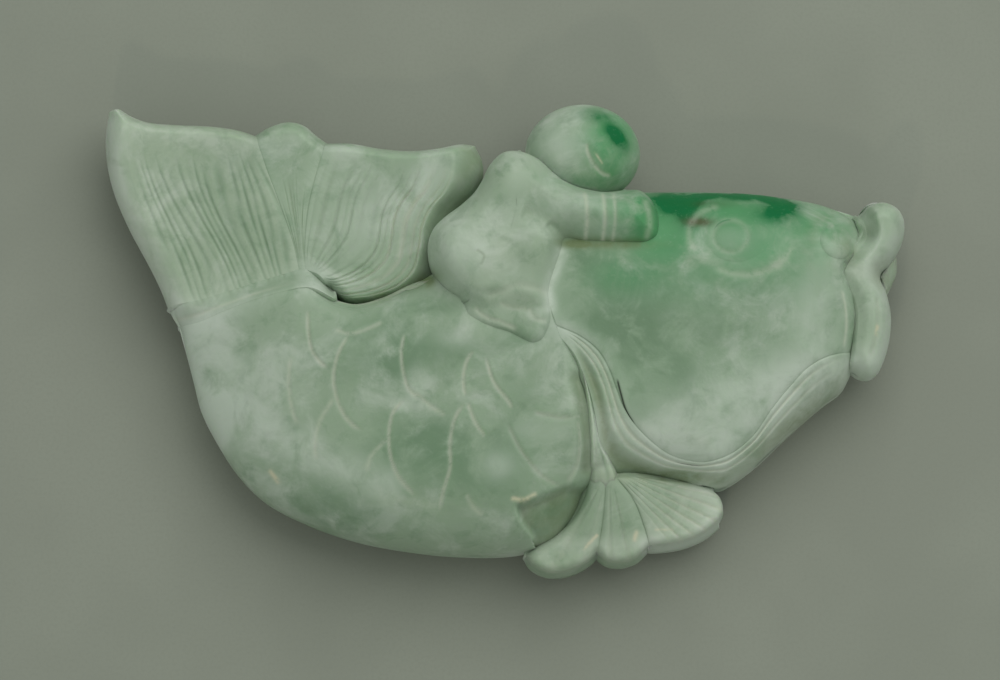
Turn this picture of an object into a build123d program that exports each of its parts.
"""A boy lying on the back of a carp, carved from one slab of jade, in millimetres.

The carving lies on its flat ground back with the worked face up. +X runs from the tail to the
mouth, +Y from the belly to the back fin, +Z from the ground back to the worked face. The origin
is at the middle of the bounding box, on the resting plane. The real object is one stone, so each
node is one carved feature, and neighbours meet wall to wall where a groove divides them.
"""

from build123d import *
import math
import os

# The fish's body: a slab whose worked face is rounded across and along
FISH_FRONT = 13.4  # highest part of the fish above the resting plane
ACROSS_RADIUS = 39.0  # rounding from belly to back fin
ALONG_RADIUS = 125.0  # rounding from tail to mouth
CREST = (5.0, -3.0)  # where the fish is highest

# Heights of each carved feature above the resting plane: (back, front, fall of the dome)
TAIL_LEFT_SPAN = (2.6, 8.8, 1.4)
TAIL_MIDDLE_SPAN = (2.8, 9.2, 0.8)
TAIL_RIGHT_SPAN = (2.4, 11.0, 1.6)
RIDGE_SPAN = (4.0, 12.4, 0.6)
STEM_SPAN = (5.0, 13.2, 1.6)
FIN_SPAN = (1.8, 8.6, 1.2)
EYE_SPAN = (8.0, 12.8, 0.9)
CURL_SPAN = (7.0, 12.2, 0.6)
UPPER_LIP_SPAN = (3.0, 12.0, 0.8)
LOWER_LIP_SPAN = (3.0, 11.0, 0.9)
TORSO_SPAN = (2.6, 15.4, 3.4)
LEG_SPAN = (5.0, 15.6, 1.4)
FOOT_SPAN = (5.0, 14.8, 1.4)
SLEEVE_SPAN = (3.4, 16.0, 2.2)
CUFF_SPAN = (5.0, 15.0, 1.2)
HEAD_CENTRE = (7.9, 18.5, 8.4)
HEAD_RADIUS = 5.4

CUT_REACH = 60.0  # further out than any feature, for the dividing walls
FLAT_ARC = 0.02  # an arc that bulges less than this is drawn as a straight line

# Outlines: each arc runs through three points, and the next one starts where it ends
FISH = [
    (-32.5, 1.8), (-31.6, -3), (-28.5, -10.3), (-20, -18), (-8, -21.1), (1, -21.2), (6, -19),
    (7.8, -16.2), (9.4, -13.8), (15, -13.4), (21, -14.3), (25.5, -12.1), (30, -7.9), (33.2, -5.3),
    (34.8, -2.5), (35.3, 4), (35.2, 12.6), (32, 13.9), (25, 14.9), (17, 15.4), (9, 15), (3, 13.1),
    (-3, 10), (-9, 6.3), (-15, 4.6), (-25, 4),
]  # fmt: skip
TAIL_LEFT = [
    (-33, 0.8), (-34.9, 7), (-38, 12.4), (-39.7, 17), (-39.9, 22.8), (-39.2, 23.6), (-37.6, 22.8),
    (-32, 21.9), (-25.2, 20.9), (-23.2, 15), (-20.4, 8.5), (-20, 7), (-20, 4), (-27, 2.6),
]  # fmt: skip
TAIL_MIDDLE = [
    (-25.6, 20.9), (-21.8, 22.2), (-17.4, 20.1), (-18.2, 14), (-19.4, 8), (-20, 7.7), (-21, 8),
    (-23.6, 14),
]  # fmt: skip
TAIL_RIGHT = [
    (-17.7, 20.1), (-12, 19.5), (-5, 19.9), (-3, 19.8), (-2.2, 17.5), (-3, 14.8), (-5.8, 12.6),
    (-8.2, 9.2), (-9.6, 5.6), (-13, 3.4), (-18.5, 3.4), (-20.4, 6), (-19.9, 9.5), (-18.8, 15),
]  # fmt: skip
BACK_RIDGE = [
    (-16.6, 3), (-12.6, 3.3), (-8.6, 4.4), (-7.9, 5), (-8.4, 5.8), (-12.6, 4.7), (-16.6, 4.4),
    (-17, 3.7),
]  # fmt: skip
FIN_STEM = [
    (7.2, -2.6), (8.2, -1.5), (9.6, -2.2), (10.3, -6), (11.2, -12.6), (10.2, -13.7), (8.7, -13),
    (8.3, -7.6),
]  # fmt: skip
FIN_REAR = [
    (9.6, -13), (7.8, -16.2), (5.2, -19.3), (3.4, -20.2), (2.3, -21.4), (3.4, -23.1),
    (5.6, -23.8), (7.9, -22.9), (9.5, -21.2), (10.1, -17), (11, -13.2), (10.4, -12.6),
]  # fmt: skip
FIN_MIDDLE = [
    (10.8, -12.6), (9.8, -17), (9, -21.4), (11.4, -22.9), (14.7, -20.9), (14.2, -17), (12.6, -13),
    (11.7, -12.5),
]  # fmt: skip
FIN_FRONT = [
    (11.4, -12.5), (15, -13.2), (20.6, -13.8), (21.8, -16.2), (21, -19.2), (18.2, -20.7),
    (14.3, -20.9), (13.6, -16.8),
]  # fmt: skip
EYE = [(19.3, 9.8), (22.6, 13.1), (27.7, 10), (23, 7.6)]
NOSTRIL_CURL = [(31, 9.6), (33, 11.4), (34.8, 10.2), (34, 8.6), (32.6, 7.7), (31.4, 8.3)]
UPPER_LIP = [
    (34, 12.9), (36.5, 13.8), (39.2, 13.6), (40, 11.6), (37.9, 7.1), (36.2, 6.2), (34.2, 6.2),
    (33.6, 9.4),
]  # fmt: skip
LOWER_LIP = [
    (37.5, 6.9), (38.6, 2.6), (37.4, -2.8), (36.2, -3.4), (34, -2.6), (33.4, 2), (33.9, 6.4),
    (35.7, 6.7),
]  # fmt: skip
TORSO = [
    (-2.3, 15.6), (-0.6, 18.2), (1.6, 18.8), (4.4, 17.6), (5.6, 14.4), (4.2, 9.4), (0.7, 5.5),
    (-3.5, 4.2), (-6.6, 6.2), (-7.4, 10.2), (-4.4, 13.4), (-3, 14.3),
]  # fmt: skip
LEG = [(0.6, 12.6), (4.2, 11.8), (5.6, 9.4), (5, 7), (4.1, 5), (1.2, 4.7), (-1.5, 4.6), (-0.8, 9)]
FOOT = [
    (-3.8, 3.4), (-3, 4.2), (-1.5, 4.6), (1.4, 5.6), (4, 4.9), (4.3, 3.6), (4.7, 2.2), (4.2, 0.5),
    (2.6, -0.2), (-0.4, 1.2), (-2.6, 1.8), (-3.6, 2.6),
]  # fmt: skip
SLEEVE = [
    (2, 17.5), (4.4, 17.4), (6.4, 16), (8.8, 15.2), (12, 15), (12.5, 12.5), (12, 10.1), (9, 9.9),
    (5.8, 10.1), (3.8, 11.9), (1, 13.2), (0.6, 15.6),
]  # fmt: skip
CUFF = [(11.6, 15), (14.2, 14.7), (15.1, 12), (15.1, 10.7), (14.4, 10), (11.6, 9.9)]

# Grooves that divide the fish, as open chains of arcs from edge to edge
ROOT_LINE = [(-38, 0.2), (-30, 0.9), (-22, 3.2), (-18, 4.6), (-15, 7)]
GILL_LINE = [
    (2, 22), (2.6, 10), (3.6, 1.5), (5, -0.2), (8.4, -1.6), (10.6, -5.4), (12.4, -9.8),
    (15.8, -12), (21, -14.3), (23, -16), (24.4, -18),
]  # fmt: skip
CHEEK_LINE = [
    (3, 0.8), (7.4, 0.6), (11.6, -1.6), (13, -5), (14.7, -8.6), (20, -11.7), (24.6, -9.2),
    (28.6, -4.3), (33, -1.2), (35.6, -0.8), (38, -0.8),
]  # fmt: skip


def arcs(points):
    """Edges of arcs through every three points. The next arc starts on the last one's end."""
    edges = []
    for start, middle, end in zip(points[:-2:2], points[1:-1:2], points[2::2]):
        chord = math.dist(start, end)
        leaning = (end[0] - start[0]) * (middle[1] - start[1])
        turning = (end[1] - start[1]) * (middle[0] - start[0])
        if abs(leaning - turning) / chord < FLAT_ARC:
            edges.append(Line(start, end))
        else:
            edges.append(ThreePointArc(start, middle, end))
    return edges


def region(outline):
    """The flat region inside a closed outline of arcs."""
    return make_face(arcs([*outline, outline[0]]))


def side_of(curve, corners):
    """The flat region with one edge along an open chain of arcs and the others through corners."""
    return make_face([*arcs(curve), Polyline(curve[-1], *corners, curve[0])])


def upright(flat, back, front):
    """A flat region as a block between two heights."""
    return extrude(Pos(0, 0, back) * flat, amount=front - back)


def dome_over(flat, front, fall):
    """A ball that touches the front height over a region's middle and falls off to its ends."""
    box = flat.bounding_box()
    reach = math.hypot(box.size.X, box.size.Y) / 2
    radius = (reach**2 + fall**2) / (2 * fall)
    return Pos(box.center().X, box.center().Y, front - radius) * Sphere(radius)


def biggest(shape):
    """The main solid of a shape, without the chips that a cut leaves."""
    return max(shape.solids(), key=lambda solid: solid.volume)


def fish_slab():
    """The whole fish before it is divided: a slab rounded across and along."""
    x, y = CREST
    across = Pos(x, y, FISH_FRONT - ACROSS_RADIUS) * Rot(0, 90, 0)
    along = Pos(x, y, FISH_FRONT - ALONG_RADIUS) * Rot(90, 0, 0)
    slab = upright(region(FISH), 0, FISH_FRONT)
    slab = slab & across * Cylinder(ACROSS_RADIUS, 2 * CUT_REACH)
    return slab & along * Cylinder(ALONG_RADIUS, 2 * CUT_REACH)


def carved_features():
    """Every node of the carving by name."""
    # In this order, each takes what the ones before it have left of its outline
    over_the_fish = {
        "boy_hand": (CUFF, CUFF_SPAN),
        "boy_arm": (SLEEVE, SLEEVE_SPAN),
        "boy_foot": (FOOT, FOOT_SPAN),
        "boy_leg": (LEG, LEG_SPAN),
        "boy_torso": (TORSO, TORSO_SPAN),
        "fish_eye": (EYE, EYE_SPAN),
        "nostril_curl": (NOSTRIL_CURL, CURL_SPAN),
        "back_ridge": (BACK_RIDGE, RIDGE_SPAN),
        "fin_stem": (FIN_STEM, STEM_SPAN),
    }
    beside_the_fish = {
        "tail_right_lobe": (TAIL_RIGHT, TAIL_RIGHT_SPAN),
        "tail_left_lobe": (TAIL_LEFT, TAIL_LEFT_SPAN),
        "tail_middle_lobe": (TAIL_MIDDLE, TAIL_MIDDLE_SPAN),
        "fin_rear_lobe": (FIN_REAR, FIN_SPAN),
        "fin_front_lobe": (FIN_FRONT, FIN_SPAN),
        "fin_middle_lobe": (FIN_MIDDLE, FIN_SPAN),
        "upper_lip": (UPPER_LIP, UPPER_LIP_SPAN),
        "lower_lip": (LOWER_LIP, LOWER_LIP_SPAN),
    }
    parts = {}
    taken = []
    fish = fish_slab()
    for name, (outline, (back, front, fall)) in over_the_fish.items():
        flat = region(outline)
        for earlier in taken:
            flat = flat - earlier
        taken.append(flat)
        block = upright(flat, back, front)
        fish = fish - upright(flat, back, FISH_FRONT + 1)
        parts[name] = biggest(block & dome_over(flat, front, fall))

    taken.append(region(FISH))
    for name, (outline, (back, front, fall)) in beside_the_fish.items():
        flat = region(outline)
        for earlier in taken:
            flat = flat - earlier
        flat = max(flat.faces(), key=lambda face: face.area)
        taken.append(flat)
        parts[name] = biggest(upright(flat, back, front) & dome_over(flat, front, fall))

    head = Pos(*HEAD_CENTRE) * Sphere(HEAD_RADIUS)
    for flat in taken:
        if flat.bounding_box().max.Y > HEAD_CENTRE[1] - HEAD_RADIUS:
            head = head - upright(flat, 0, 2 * FISH_FRONT)
    parts["boy_head"] = biggest(head)

    far = CUT_REACH
    tall = (-1, 2 * FISH_FRONT)
    root = upright(side_of(ROOT_LINE, [(-15, far), (-far, far), (-far, 0.2)]), *tall)
    front = upright(side_of(GILL_LINE, [(24.4, -far), (far, -far), (far, far), (2, far)]), *tall)
    above = upright(side_of(CHEEK_LINE, [(far, -0.8), (far, far), (-far, far), (-far, 0.8)]), *tall)
    parts["tail_root"] = biggest((fish - front) & root)
    parts["fish_body"] = biggest(fish - front - root)
    parts["fish_head"] = biggest(fish & front & above)
    parts["gill_rim"] = biggest((fish & front) - above)
    return parts


def main():
    """Builds every node about the middle of the bounding box and writes one STEP file each."""
    parts = carved_features()
    box = Compound(list(parts.values())).bounding_box()
    middle = Pos(-box.center().X, -box.center().Y, -box.min.Z)
    os.makedirs("parts", exist_ok=True)
    for name, solid in parts.items():
        export_step(middle * solid, f"parts/{name}.step")


main()
